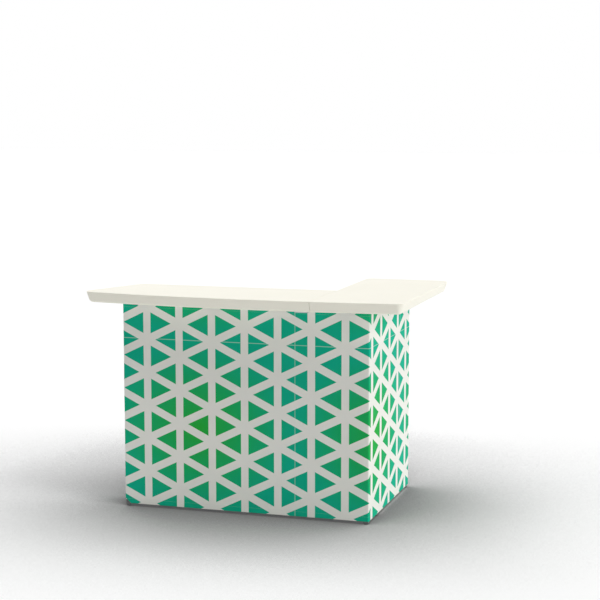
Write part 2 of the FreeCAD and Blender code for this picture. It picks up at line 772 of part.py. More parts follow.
# Counter arms with their screws and pegs.
arms = []
pegs = []
for arm, x in ARM_PLACES.items():
    holes = []
    for side, y in LONG_RAILS.items():
        centre = (x, mid(y))
        holes.append(bar(f"{arm}_{side}_hole", "z", centre, "screw_radius + fit_gap",
                         f"{FRAME_TOP} - overrun", f"{UNDERSIDE} + overrun"))
        holes.append(bar(f"{arm}_{side}_sink", "z", centre, "screw_head_radius + fit_gap",
                         f"{UNDERSIDE} - screw_head_height - fit_gap", f"{UNDERSIDE} + overrun"))
        screws.append(headed(f"{arm}_{side}_screw", "z", centre, "screw_radius",
                             (f"{FRAME_TOP} - arm_screw_bite", f"{UNDERSIDE} - screw_head_height"),
                             "screw_head_radius",
                             (f"{UNDERSIDE} - screw_head_height", UNDERSIDE)))
    if any(arm in pair for pair in PEG_ARMS.values()):
        centre = (x, PEG_Y)
        holes.append(bar(f"{arm}_tenon_hole", "z", centre, "tenon_radius + fit_gap",
                         f"{FRAME_TOP} - overrun", f"{UNDERSIDE} + overrun"))
        tip = doc.addObject("Part::Cone", f"{arm}_peg_tip")
        bind(tip, "Radius1", "peg_radius")
        bind(tip, "Radius2", "peg_radius - peg_tip")
        bind(tip, "Height", "peg_tip")
        for letter, text in zip("xyz", (*centre, f"{PEG_TOP} - peg_tip")):
            bind(tip, f"Placement.Base.{letter}", text)
        pegs.append(union(f"{arm}_peg", [
            bar(f"{arm}_tenon", "z", centre, "tenon_radius", FRAME_TOP, UNDERSIDE),
            bar(f"{arm}_peg_body", "z", centre, "peg_radius", UNDERSIDE, f"{PEG_TOP} - peg_tip"),
            tip,
        ]))
    flat = rounded(f"{arm}_flat", "y", (f"{x} - arm_width / 2", f"{BASE_FRONT} - arm_reach", FRAME_TOP),
                   (f"{x} + arm_width / 2", BOX_BACK, UNDERSIDE), "arm_corner")
    arms.append(less(f"{arm}_arm", flat, holes))
node(group("counter_arms", arms))
node(group("locating_pegs", pegs))
node(group("frame_screws", screws))

# Shelves: two alike, notched round the middle post and clear of the hinge knuckles; the upper one sits on
# angles and a bracket.
SHELF_BACK = f"({BOX_BACK} - knuckle_radius + hinge_gap / 2 - shelf_gap)"
angles = []
fasteners = []
shelf_holes = []
for side in ("left", "right"):
    left = side == "left"
    face = f"({LEFT_POST} + tube_side)" if left else RIGHT_POST
    way = "+" if left else "-"
    sign = 1 if left else -1
    holes = []
    for corner in (f"front_{side}", f"back_{side}"):
        centre, spot, _ = angle_rivet(corner)
        holes.append(rivet_hole(f"{corner}_angle_hole", "x", centre, spot))
        fasteners.append(rivet(f"{corner}_angle_rivet", "x", centre, spot, sign, "angle_thickness", False))
    screw_x = f"({face} {way} shelf_screw_inset)"
    for row, y in (
        ("front", f"({FRAME_FRONT} + shelf_screw_margin)"),
        ("back", f"({BOX_BACK} - shelf_screw_margin)"),
    ):
        span = (f"{SHELF_Z} - angle_thickness", f"{SHELF_Z} + shelf_screw_bite")
        cutter = (f"{SHELF_Z} - angle_thickness - overrun", f"{SHELF_Z} + shelf_screw_bite + fit_gap")
        for piece, drilled in (("angle", holes), ("shelf", shelf_holes)):
            drilled.append(bar(f"{side}_{row}_{piece}_screw_hole", "z", (screw_x, y),
                               "rivet_radius + fit_gap", *cutter))
        fasteners.append(headed(f"{side}_{row}_shelf_screw", "z", (screw_x, y), "rivet_radius", span,
                                "rivet_head_radius", (f"{span[0]} - rivet_head_height", span[0])))
    wall = ordered(face, f"{face} {way} angle_thickness", sign)
    ledge = ordered(face, f"{face} {way} angle_leg", sign)
    section = union(f"{side}_angle_blank", [
        block(f"{side}_angle_wall", (wall[0], FRAME_FRONT, f"{SHELF_Z} - angle_leg"),
              (wall[1], SHELF_BACK, SHELF_Z)),
        block(f"{side}_angle_ledge", (ledge[0], FRAME_FRONT, f"{SHELF_Z} - angle_thickness"),
              (ledge[1], SHELF_BACK, SHELF_Z)),
    ])
    angles.append(less(f"{side}_shelf_angle", section, holes))
node(group("shelf_angles", angles))

bracket_low = f"({MIDDLE_POST})"
bracket_high = f"({MIDDLE_POST} + tube_side)"
bracket_blank = union("bracket_blank", [
    block("bracket_wall", (bracket_low, middle_face, f"{SHELF_Z} - angle_leg"),
          (bracket_high, f"{middle_face} + angle_thickness", SHELF_Z)),
    block("bracket_ledge", (bracket_low, middle_face, f"{SHELF_Z} - angle_thickness"),
          (bracket_high, f"{middle_face} + bracket_reach", SHELF_Z)),
])
node(less("middle_shelf_bracket", bracket_blank,
          [rivet_hole("bracket_rivet_hole", "y", middle_rivet, middle_face)]))
fasteners.append(rivet("bracket_rivet", "y", middle_rivet, middle_face, 1, "angle_thickness", False))
node(group("shelf_fasteners", fasteners))

for name, low_z, holes in (("lower_shelf", RAIL_TOP, []), ("upper_shelf", SHELF_Z, shelf_holes)):
    board = rounded(f"{name}_board", "x", (f"{LEFT_POST} + tube_side + shelf_gap", FRAME_FRONT, low_z),
                    (f"{RIGHT_POST} - shelf_gap", SHELF_BACK, f"{low_z} + shelf_thickness"), "shelf_corner")
    notch = block(f"{name}_notch",
                  (f"{MIDDLE_POST} - shelf_gap", f"{FRAME_FRONT} - overrun", f"{low_z} - overrun"),
                  (f"{MIDDLE_POST} + tube_side + shelf_gap", f"{middle_face} + shelf_gap",
                   f"{low_z} + shelf_thickness + overrun"))
    node(less(name, board, [notch, *holes]))

# Butt hinges: the axis stands just inside the inner corner of the back right post.
HINGE_X = f"({RIGHT_POST} - knuckle_radius - knuckle_offset)"
HINGE_Y = f"({BOX_BACK} + hinge_gap / 2)"


def leaf(name, z, moving):
    """One hinge leaf with its share of the knuckles."""
    low_z = f"({z} - leaf_length / 2)"
    high_z = f"({z} + leaf_length / 2)"
    step = "leaf_length / 3"
    if moving:
        low_y, high_y = f"{WING_FRONT} - leaf_thickness", WING_FRONT
        knuckles = [(f"{low_z} + {step} + knuckle_gap", f"{high_z} - {step} - knuckle_gap")]
        bore = "pin_radius + running_gap"
    else:
        low_y, high_y = BOX_BACK, f"{BOX_BACK} + leaf_thickness"
        knuckles = [(low_z, f"{low_z} + {step}"), (f"{high_z} - {step}", high_z)]
        bore = "pin_radius + running_gap / 2"
    pieces = [block(f"{name}_plate", (RIGHT_POST, low_y, low_z),
                    (f"{RIGHT_POST} + leaf_width", high_y, high_z))]
    for number, (start, stop) in enumerate(knuckles):
        pieces.append(bar(f"{name}_knuckle_{number}", "z", (HINGE_X, HINGE_Y), "knuckle_radius", start, stop))
        pieces.append(block(f"{name}_web_{number}", (HINGE_X, low_y, start), (RIGHT_POST, high_y, stop)))
    holes = [bar(f"{name}_bore", "z", (HINGE_X, HINGE_Y), bore, f"{low_z} - overrun", f"{high_z} + overrun")]
    face = WING_FRONT if moving else BOX_BACK
    for row, step_z in LEAF_RIVETS.items():
        holes.append(rivet_hole(f"{name}_{row}_hole", "y", (HINGE_RIVET_X, f"({z} {step_z})"), face))
    return less(name, union(f"{name}_blank", pieces), holes)


for kind in ("fixed", "moving"):
    node(group(f"hinge_{kind}_leaves", [
        leaf(f"{height}_{kind}_leaf", z, kind == "moving") for height, z in HINGE_HEIGHTS.items()
    ]))
node(group("hinge_pins", [
    bar(f"{height}_pin", "z", (HINGE_X, HINGE_Y), "pin_radius",
        f"{z} - leaf_length / 2", f"{z} + leaf_length / 2")
    for height, z in HINGE_HEIGHTS.items()
]))
for kind, face, sign in (("fixed", BOX_BACK, 1), ("moving", WING_FRONT, -1)):
    node(group(f"hinge_{kind}_rivets", [
        rivet(f"{kind}_{place}_rivet", "y", spot, face, sign, "leaf_thickness", True)
        for place, spot in leaf_rivet_places().items()
    ]))

# Wing: two posts, two rails, elbows at the top, plugs and screws at the bottom rail.
WING_RAIL_Z = "(wing_rail_height + tube_side / 2)"
WING_POST_TOP = f"({WING_TOP} - tube_side)"
WING_BACK_POST = f"({WING_BACK} - tube_side)"
wing_screw_centre = (mid(RIGHT_POST), WING_RAIL_Z)
wing_ends = {"front": (WING_FRONT, WING_FRONT, 1), "back": (WING_BACK_POST, WING_BACK, -1)}
wing_plugs = []
wing_screws = []
wing_elbows = []
for end, (low_y, face, sign) in wing_ends.items():
    low_z = "wing_post_clearance" if end == "front" else "foot_height"
    holes = [screw_hole(f"wing_{end}_screw_hole", "y", wing_screw_centre, face, sign)]
    if end == "front":
        for place, spot in leaf_rivet_places().items():
            holes.append(rivet_hole(f"wing_{place}_leaf_hole", "y", spot, WING_FRONT))
    node(tube(f"wing_{end}_post", "z", (RIGHT_POST, low_y, low_z),
              (FRAME_RIGHT, f"{low_y} + tube_side", WING_POST_TOP), holes))
    start = f"{WING_FRONT} + tube_side" if end == "front" else f"{WING_BACK_POST} - plug_length"
    wing_plugs.append(plug(f"wing_{end}_plug", "y", (RIGHT_POST, start, "wing_rail_height"), "plug_length",
                           [screw_hole(f"wing_{end}_plug_hole", "y", wing_screw_centre, face, sign)]))
    wing_screws.append(frame_screw(f"wing_{end}_screw", "y", wing_screw_centre, face, sign))
    wing_elbows.append(connector(f"wing_{end}_elbow", (RIGHT_POST, low_y, WING_POST_TOP),
                                 [("y", sign), ("z", -1)]))
for level, low_z in (("bottom", "wing_rail_height"), ("top", WING_POST_TOP)):
    node(tube(f"wing_{level}_rail", "y", (RIGHT_POST, f"{WING_FRONT} + tube_side", low_z),
              (FRAME_RIGHT, WING_BACK_POST, f"{low_z} + tube_side")))
node(group("wing_plugs", wing_plugs))
node(group("wing_screws", wing_screws))
node(group("wing_connectors", wing_elbows))
cap_low = "(wing_post_clearance - cap_thickness)"
cap_inset = "(tube_wall + fit_gap)"
node(union("wing_post_cap", [
    block("wing_cap_plate", (RIGHT_POST, WING_FRONT, cap_low),
          (FRAME_RIGHT, f"{WING_FRONT} + tube_side", "wing_post_clearance")),
    block("wing_cap_plug",
          (f"{RIGHT_POST} + {cap_inset}", f"{WING_FRONT} + {cap_inset}", "wing_post_clearance"),
          (f"{FRAME_RIGHT} - {cap_inset}", f"{WING_FRONT} + tube_side - {cap_inset}",
           "wing_post_clearance + plug_length")),
]))
wing_foot_centre = (mid(RIGHT_POST), mid(WING_BACK_POST))
node(plug("wing_foot_seat", "z", (RIGHT_POST, WING_BACK_POST, "foot_height"), "tube_side + stud_seat_extra",
          [stud_seat("wing_seat", wing_foot_centre)]))
foot("wing_foot", wing_foot_centre)

# Tape between the tubes and the cloth.
FRONT_SPAN = (f"{BASE_FRONT} + wrap_thickness", FRAME_FRONT)
LEFT_SPAN = (f"{BASE_LEFT} + wrap_thickness", FRAME_LEFT)
RIGHT_SPAN = (FRAME_RIGHT, f"{BASE_RIGHT} - wrap_thickness")


def tape(name, span_x, span_y, top):
    """Strip of tape, given its upper edge."""
    return block(name, (span_x[0], span_y[0], f"{top} - tape_width"), (span_x[1], span_y[1], top))


FRONT_LENGTH = (FRAME_LEFT, FRAME_RIGHT)
SIDE_LENGTH = (FRAME_FRONT, BOX_BACK)
WING_LENGTH = (WING_FRONT, WING_BACK)
TAPE_TOP = f"{WRAP_TOP} - wrap_thickness"
SIDE_TAPE = "side_rail_height + tube_side"
node(group("hook_tapes", [
    tape("front_top_tape", FRONT_LENGTH, FRONT_SPAN, TAPE_TOP),
    tape("front_bottom_tape", FRONT_LENGTH, FRONT_SPAN, RAIL_TOP),
    tape("left_top_tape", LEFT_SPAN, SIDE_LENGTH, TAPE_TOP),
    tape("left_bottom_tape", LEFT_SPAN, SIDE_LENGTH, SIDE_TAPE),
    tape("right_top_tape", RIGHT_SPAN, SIDE_LENGTH, TAPE_TOP),
    tape("right_bottom_tape", RIGHT_SPAN, SIDE_LENGTH, SIDE_TAPE),
]))
node(group("wing_hook_tapes", [
    tape("wing_top_tape", RIGHT_SPAN, WING_LENGTH, TAPE_TOP),
    tape("wing_bottom_tape", RIGHT_SPAN, WING_LENGTH, "wing_rail_height + tube_side"),
]))


# Cloth panels. The front and left panels have clipped lower corners where the cloth turns the left corner.
def clip(name, edge, turn):
    """Cutter for a clipped lower corner: a wedge whose sloping side runs across the panel's corner."""
    wedge = doc.addObject("Part::Wedge", name)
    length = "wrap_clip_width"
    height = "wrap_clip_height"
    depth = "(2 * overrun)"
    for prop, text in (
        ("Xmin", "0"), ("Xmax", length), ("X2min", "0"), ("X2max", "0"),
        ("Ymin", "0"), ("Ymax", height),
        ("Zmin", "0"), ("Zmax", depth), ("Z2min", "0"), ("Z2max", depth),
    ):
        bind(wedge, prop, text)
    wedge.Placement.Rotation = turn
    for letter, text in zip("xyz", edge):
        bind(wedge, f"Placement.Base.{letter}", text)
    return wedge


UPRIGHT = FreeCAD.Rotation(FreeCAD.Vector(1, 0, 0), 90)
UPRIGHT_SIDE = FreeCAD.Rotation(FreeCAD.Vector(0, 0, 1), 90) * UPRIGHT
panel_low = "hem_height"
front_sheet = block("front_sheet", (BASE_LEFT, BASE_FRONT, panel_low),
                    (BASE_RIGHT, f"{BASE_FRONT} + wrap_thickness", WRAP_TOP))
left_sheet = block("left_sheet", (BASE_LEFT, f"{BASE_FRONT} + wrap_thickness", panel_low),
                   (f"{BASE_LEFT} + wrap_thickness", BOX_BACK, WRAP_TOP))
node(less("front_wrap_panel", front_sheet,
          [clip("front_clip", (BASE_LEFT, f"{BASE_FRONT} + overrun", panel_low), UPRIGHT)]))
node(less("left_wrap_panel", left_sheet,
          [clip("left_clip", (f"{BASE_LEFT} - overrun", BASE_FRONT, panel_low), UPRIGHT_SIDE)]))
node(block("right_wrap_panel",
           (f"{BASE_RIGHT} - wrap_thickness", f"{BASE_FRONT} + wrap_thickness", panel_low),
           (BASE_RIGHT, BOX_BACK, WRAP_TOP)))
node(block("wing_wrap_panel", (f"{BASE_RIGHT} - wrap_thickness", WING_FRONT, panel_low),
           (BASE_RIGHT, WING_BACK, WRAP_TOP)))

# Latches: plate with lug and pivot under the main top, forked lever, wire bail, keeper under the return top.
CHEEK_INNER = "(lug_width / 2 + lever_side_gap)"
CHEEK_OUTER = "(lever_width / 2)"
BAIL_X = f"({PIVOT_X} - bail_back)"
BAIL_Z = f"({PIVOT_Z} + bail_rise)"
BAIL_SIDE = f"({CHEEK_OUTER} + lever_side_gap + bail_wire_radius)"
BAIL_END = f"({KEEPER_X} + keeper_thickness + keeper_gap + bail_wire_radius)"
PLATE_LOW = f"({UNDERSIDE} - latch_plate_thickness)"


def latch_plate(latch, y):
    """Plate with a lug, and the pivot riveted through the lug."""
    screw_holes = [
        bar(f"{latch}_plate_hole_{number}", "z", (x, y), "latch_screw_radius + fit_gap",
            f"{PLATE_LOW} - overrun", f"{UNDERSIDE} + overrun")
        for number, x in enumerate(LATCH_SCREWS)
    ]
    plate = less(f"{latch}_plate_flat", block(
        f"{latch}_plate_blank",
        (f"{PIVOT_X} - latch_plate_length / 2", f"{y} - latch_plate_width / 2", PLATE_LOW),
        (f"{PIVOT_X} + latch_plate_length / 2", f"{y} + latch_plate_width / 2", UNDERSIDE)), screw_holes)
    lug = block(f"{latch}_lug",
                (f"{PIVOT_X} - lug_length / 2", f"{y} - lug_width / 2", f"{PIVOT_Z} - lug_below_pivot"),
                (f"{PIVOT_X} + lug_length / 2", f"{y} + lug_width / 2", PLATE_LOW))
    pivot = bar(f"{latch}_pivot", "y", (PIVOT_X, PIVOT_Z), "pivot_radius", f"{y} - {CHEEK_OUTER}",
                f"{y} + {CHEEK_OUTER}")
    return union(f"{latch}_latch_plate", [plate, lug, pivot])


def latch_lever(latch, y):
    """Forked lever, lying flat under the top; its ears take the bail."""
    low_z = f"{PIVOT_Z} - lever_height / 2"
    high_z = f"{PIVOT_Z} + lever_height / 2"
    fork_x = f"{PIVOT_X} - lever_fork_depth"
    pieces = [block(f"{latch}_lever_grip", (f"{PIVOT_X} - lever_length", f"{y} - {CHEEK_OUTER}", low_z),
                    (fork_x, f"{y} + {CHEEK_OUTER}", high_z))]
    holes = [
        bar(f"{latch}_lever_bore", "y", (PIVOT_X, PIVOT_Z), "pivot_radius + running_gap",
            f"{y} - lever_width", f"{y} + lever_width"),
        bar(f"{latch}_lever_bail_bore", "y", (BAIL_X, BAIL_Z), "bail_wire_radius + running_gap",
            f"{y} - lever_width", f"{y} + lever_width"),
    ]
    for number, span in enumerate((
        (f"{y} - {CHEEK_OUTER}", f"{y} - {CHEEK_INNER}"),
        (f"{y} + {CHEEK_INNER}", f"{y} + {CHEEK_OUTER}"),
    )):
        pieces.append(block(f"{latch}_cheek_{number}", (fork_x, span[0], low_z),
                            (f"{PIVOT_X} + lever_nose", span[1], high_z)))
        pieces.append(block(f"{latch}_ear_{number}", (fork_x, span[0], low_z),
                            (f"{PIVOT_X} - lever_ear_start", span[1], f"{PIVOT_Z} + lever_ear_rise")))
    return node(less(f"{latch}_latch_lever", union(f"{latch}_lever_blank", pieces), holes))


def latch_bail(latch, y):
    """Bail of bent wire: a peg in each cheek, two legs and a cross bar behind the keeper."""
    pieces = []
    for number, (side, peg) in enumerate((
        (f"({y} - {BAIL_SIDE})", (f"{y} - {BAIL_SIDE}", f"{y} - {CHEEK_OUTER} + bail_peg_depth")),
        (f"({y} + {BAIL_SIDE})", (f"{y} + {CHEEK_OUTER} - bail_peg_depth", f"{y} + {BAIL_SIDE}")),
    )):
        pieces.append(bar(f"{latch}_bail_peg_{number}", "y", (BAIL_X, BAIL_Z), "bail_wire_radius", *peg))
        pieces.append(bar(f"{latch}_bail_leg_{number}", "x", (side, BAIL_Z), "bail_wire_radius",
                          BAIL_X, BAIL_END))
        for turn, x in (("near", BAIL_X), ("far", BAIL_END)):
            pieces.append(ball(f"{latch}_bail_{turn}_bend_{number}", (x, side, BAIL_Z), "bail_wire_radius"))
    pieces.append(bar(f"{latch}_bail_cross", "y", (BAIL_END, BAIL_Z), "bail_wire_radius",
                      f"{y} - {BAIL_SIDE}", f"{y} + {BAIL_SIDE}"))
    return node(union(f"{latch}_latch_bail", pieces))


def keeper(latch, y):
    """Keeper: a plate with a tab turned down in front of the bail's cross bar."""
    plate = block(f"{latch}_keeper_plate",
                  (KEEPER_X, f"{y} - latch_plate_width / 2", f"{UNDERSIDE} - keeper_thickness"),
                  (f"{KEEPER_X} + keeper_plate_length", f"{y} + latch_plate_width / 2", UNDERSIDE))
    tab = block(f"{latch}_keeper_tab",
                (KEEPER_X, f"{y} - keeper_tab_width / 2", f"{UNDERSIDE} - keeper_tab_height"),
                (f"{KEEPER_X} + keeper_thickness", f"{y} + keeper_tab_width / 2", UNDERSIDE))
    holes = [
        bar(f"{latch}_keeper_hole_{number}", "z", (x, y), "latch_screw_radius + fit_gap",
            f"{UNDERSIDE} - keeper_thickness - overrun", f"{UNDERSIDE} + overrun")
        for number, x in enumerate(KEEPER_SCREWS)
    ]
    return less(f"{latch}_keeper", union(f"{latch}_keeper_blank", [plate, tab]), holes)


def small_screws(name, places, thickness):
    """Short screws that hold a plate to the underside of a top."""
    low = f"{UNDERSIDE} - {thickness}"
    return group(name, [
        headed(f"{name}_{latch}_{number}", "z", (x, y), "latch_screw_radius",
               (low, f"{UNDERSIDE} + latch_screw_bite"), "latch_screw_head_radius",
               (f"{low} - latch_screw_head_height", low))
        for latch, y in LATCHES.items()
        for number, x in enumerate(places)
    ])


node(group("latch_plates", [latch_plate(latch, y) for latch, y in LATCHES.items()]))
node(group("latch_keepers", [keeper(latch, y) for latch, y in LATCHES.items()]))
node(small_screws("latch_screws", LATCH_SCREWS, "latch_plate_thickness"))
node(small_screws("keeper_screws", KEEPER_SCREWS, "keeper_thickness"))
for latch, y in LATCHES.items():
    latch_lever(latch, y)
    latch_bail(latch, y)

doc.recompute()
for item in doc.Objects:
    if {"Invalid", "Error"} & set(item.State):
        raise RuntimeError(f"{item.Label} did not compute: {item.State}")
for piece in nodes:
    if piece.Shape.isNull() or not piece.Shape.isValid() or not piece.Shape.Solids:
        raise RuntimeError(f"{piece.Label} has no valid solid")

os.makedirs("parts", exist_ok=True)
for piece in nodes:
    piece.Shape.exportStep(f"parts/{piece.Label}.step")
print(len(nodes), "pieces written")
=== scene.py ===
import json
import math

import bmesh
import bpy
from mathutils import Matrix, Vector


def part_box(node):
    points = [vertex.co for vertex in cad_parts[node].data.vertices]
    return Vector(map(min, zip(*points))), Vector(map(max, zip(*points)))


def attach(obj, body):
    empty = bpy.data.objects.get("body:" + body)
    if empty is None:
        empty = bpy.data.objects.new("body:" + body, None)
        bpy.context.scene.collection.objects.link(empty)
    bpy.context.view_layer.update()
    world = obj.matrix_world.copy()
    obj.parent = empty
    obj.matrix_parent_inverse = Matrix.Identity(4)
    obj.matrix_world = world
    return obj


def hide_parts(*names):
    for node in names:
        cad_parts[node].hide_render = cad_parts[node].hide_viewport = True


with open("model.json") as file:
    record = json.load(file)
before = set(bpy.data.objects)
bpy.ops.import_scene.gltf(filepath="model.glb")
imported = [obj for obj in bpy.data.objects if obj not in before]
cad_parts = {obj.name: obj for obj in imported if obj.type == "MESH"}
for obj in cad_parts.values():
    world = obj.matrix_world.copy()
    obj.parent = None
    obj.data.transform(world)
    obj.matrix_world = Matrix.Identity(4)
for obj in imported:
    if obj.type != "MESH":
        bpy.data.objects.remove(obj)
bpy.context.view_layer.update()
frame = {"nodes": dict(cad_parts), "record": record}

# The curve between a screen's levels and light: straight near black, and a power above that.
TOP_LEVEL = 255
STRAIGHT_END = 0.04045
STRAIGHT_SLOPE = 12.92
CURVE_OFFSET = 0.055
CURVE_POWER = 2.4


def light_of(level):
    """Light of one screen level, both from 0 to 1."""
    if level <= STRAIGHT_END:
        return level / STRAIGHT_SLOPE
    return ((level + CURVE_OFFSET) / (1 + CURVE_OFFSET)) ** CURVE_POWER


def colour(*levels):
    """Screen colour, written from 0 to 255, as the linear colour that a shader takes."""
    return tuple(light_of(level / TOP_LEVEL) for level in levels) + (1,)


CREAM = colour(247, 244, 231)
CREAM_SHADE = colour(243, 240, 226)
FRAME_GREY = colour(134, 134, 136)
FRAME_GREY_DARK = colour(122, 122, 124)
FRAME_WORN = colour(172, 172, 174)
NYLON = colour(106, 106, 108)
NYLON_PALE = colour(116, 116, 118)
NYLON_WORN = colour(142, 142, 144)
FOOT = colour(74, 74, 76)
FOOT_PALE = colour(88, 88, 90)
STEEL = colour(196, 196, 199)
STEEL_DARK = colour(172, 172, 176)
STEEL_WORN = colour(222, 222, 224)
SHELF = colour(222, 219, 208)
SHELF_FLECK = colour(208, 204, 192)
SHELF_WORN = colour(196, 188, 168)
TAPE = colour(98, 98, 100)
TAPE_PALE = colour(116, 116, 118)
CLOTH_WHITE = colour(237, 237, 231)
CLOTH_LINING = colour(226, 226, 220)
TEAL = colour(16, 177, 143)
SEA_GREEN = colour(29, 175, 103)
GREEN = colour(42, 174, 60)
STITCH = colour(214, 214, 206)
FLOOR = colour(250, 250, 250)
FLOOR_SHADE = colour(60, 60, 60)
WHITE = colour(255, 255, 255)

# Edges of the hard pieces: how far they are softened, and how the wear along them is broken up.
EDGE_RADIUS = 0.0007
EDGE_SAMPLES = 6
SQUARE_EDGE_TURN = 0.75
WEAR_SCALE = 45

# How many layers of ever finer noise a pattern has.
GRAIN_DETAIL = 2
PATCH_DETAIL = 3
WEAR_DETAIL = 4

# Print on the cloth: a grid of triangles between broad white lines, over a colour that goes from green in
# the middle of each repeat to teal at its edges. A fine welded seam shows where the repeats meet, and the
# print shows faintly on the inner side. Half a repeat is the most that a place can be off a line or seam.
PRINT_COLUMN = 0.1645
PRINT_ROW = 0.1605
PRINT_LINE = 0.037
PRINT_SOFTNESS = 0.0006
PRINT_BAR_X = -0.2
PRINT_NODE_Z = 0.986
SLANT_SHARE = 0.5
REPEAT_WIDTH = 0.952
REPEAT_HEIGHT = 0.84
HALF_REPEAT = 0.5
SEA_GREEN_SHARE = 0.5
SEAM_X = 0.214
SEAM_Z = 0.8295
SEAM_WIDTH = 0.0035
SEAM_TINT_SHARE = 0.4
PRINT_THROUGH_SHARE = 0.2

# Cloth: its thickness, its round corners and the steps of its mesh.
CLOTH_THICKNESS = 0.0012
CLOTH_CORNER = 0.005
CLOTH_STEP = 0.02
FEWEST_STEPS = 4
CORNER_STEPS = 5
PLACE_DIGITS = 6
SHARP_ANGLE = math.radians(50)

# Hems, the clipped corner, the flap over the hinge gap, and ripples. The clip's margin is where the clip ends
# on the straight run beside the corner.
HEM_WIDTH = 0.024
HEM_RISE = 0.0005
HEM_SLOPE = 0.0015
HEM_MARGINS = (0, HEM_SLOPE, HEM_WIDTH, HEM_WIDTH + HEM_SLOPE)
CLIP_WIDTH = 0.028
CLIP_HEIGHT = 0.026
CLIP_MARGIN = CLIP_WIDTH - CLOTH_CORNER * math.pi / 4
FLAP = 0.004
RIPPLE = 0.0006
RIPPLE_LENGTH = 0.21
RIPPLE_SWAY = 0.47
SWAY_TURN = 2

# Threads and stitches.
THREAD = 0.0009
STITCH_LENGTH = 0.0045
STITCH_WIDTH = 0.0011
STITCH_SHARE = 0.62
STITCH_TINT_SHARE = 0.3

# Cloth surface: the depth of its relief and how much each form has of it, roughness, and the scale of clouds.
CLOTH_RELIEF = 0.0003
PRINTED_RELIEF_SHARE = 0.5
LINING_RELIEF_SHARE = 0.6
WEAVE_RELIEF_SHARE = 0.25
SEAM_RELIEF_SHARE = 0.8
STITCH_RELIEF_TIMES = 2
PRINTED_ROUGHNESS = (0.66, 0.8)
LINING_ROUGHNESS = (0.75, 0.88)
PRINTED_CLOUD_SCALE = 14
LINING_CLOUD_SCALE = 9

# Material numbers of the cloth's two sides.
OUTER_SIDE = 0
INNER_SIDE = 1

# Sockets of a colour mix.
MIX_FIRST = 6
MIX_SECOND = 7
MIX_RESULT = 2


class Nodes:
    """A node tree in the making, with short ways to add to it."""

    def __init__(self, tree):
        self.tree = tree

    def feed(self, socket, value):
        """Sets a socket to a value, or links it to another socket."""
        if isinstance(value, bpy.types.NodeSocket):
            self.tree.links.new(value, socket)
        else:
            socket.default_value = value

    def node(self, kind, inputs=None, **settings):
        """New node with its settings and inputs."""
        made = self.tree.nodes.new(kind)
        for name, value in settings.items():
            setattr(made, name, value)
        for key, value in (inputs or {}).items():
            self.feed(made.inputs[key], value)
        return made

    def sum(self, operation, *values):
        """Result of a sum on numbers or sockets."""
        return self.node("ShaderNodeMath", dict(enumerate(values)), operation=operation).outputs[0]

    def place(self):
        """Place on the object, in metres."""
        return self.node("ShaderNodeTexCoord").outputs["Object"]

    def scaled(self, vector, factors):
        """A vector with each part scaled."""
        return self.node("ShaderNodeMapping", {"Vector": vector, "Scale": factors}).outputs[0]

    def noise(self, vector, scale, detail):
        """Noise from 0 to 1."""
        inputs = {"Vector": vector, "Scale": scale, "Detail": detail}
        return self.node("ShaderNodeTexNoise", inputs).outputs[0]

    def spread(self, value, low, high):
        """A value from 0 to 1, spread over a range."""
        return self.node("ShaderNodeMapRange", {"Value": value, "To Min": low, "To Max": high}).outputs[0]

    def below(self, value, limit, softness):
        """1 where a value is below a limit and 0 above it, with a soft step."""
        inputs = {"Value": value, "From Min": limit - softness, "From Max": limit + softness}
        inputs.update({"To Min": 1, "To Max": 0})
        return self.node("ShaderNodeMapRange", inputs, interpolation_type="SMOOTHSTEP").outputs[0]

    def mix(self, share, first, second):
        """Mix of two colours."""
        made = self.node("ShaderNodeMix", data_type="RGBA")
        self.feed(made.inputs["Factor"], share)
        self.feed(made.inputs[MIX_FIRST], first)
        self.feed(made.inputs[MIX_SECOND], second)
        return made.outputs[MIX_RESULT]

    def camera_light(self):
        """1 for rays from the camera, mirrors and glass, which see the plain background."""
        path = self.node("ShaderNodeLightPath").outputs
        mirrors = self.sum("MAXIMUM", path["Is Glossy Ray"], path["Is Transmission Ray"])
        return self.sum("MAXIMUM", path["Is Camera Ray"], mirrors)


class Paint(Nodes):
    """A material in the making."""

    def __init__(self, name):
        self.material = bpy.data.materials.new(name)
        self.material.use_nodes = True
        super().__init__(self.material.node_tree)
        self.shader = self.tree.nodes["Principled BSDF"]

    def set(self, **values):
        """Sets or links the shader's inputs; a name's underscores stand for spaces."""
        for name, value in values.items():
            self.feed(self.shader.inputs[name.replace("_", " ")], value)

    def bump(self, height, distance, strength=1, normal=None):
        """Surface relief of a height from 0 to 1, over the plain surface or over another normal."""
        made = self.node("ShaderNodeBump", {"Height": height, "Distance": distance, "Strength": strength})
        if normal:
            self.feed(made.inputs["Normal"], normal)
        self.set(Normal=made.outputs[0])

    def soft_edges(self, radius):
        """Normal that rounds off the edges, and a value from 0 on the flat to 1 on a square edge."""
        rounded = self.node("ShaderNodeBevel", {"Radius": radius}, samples=EDGE_SAMPLES).outputs[0]
        plain = self.node("ShaderNodeNewGeometry").outputs["Normal"]
        turn = self.node("ShaderNodeVectorMath", {0: rounded, 1: plain}, operation="DOT_PRODUCT")
        inputs = {"Value": turn.outputs["Value"], "From Min": 1, "From Max": SQUARE_EDGE_TURN}
        inputs.update({"To Min": 0, "To Max": 1})
        return rounded, self.node("ShaderNodeMapRange", inputs).outputs[0]


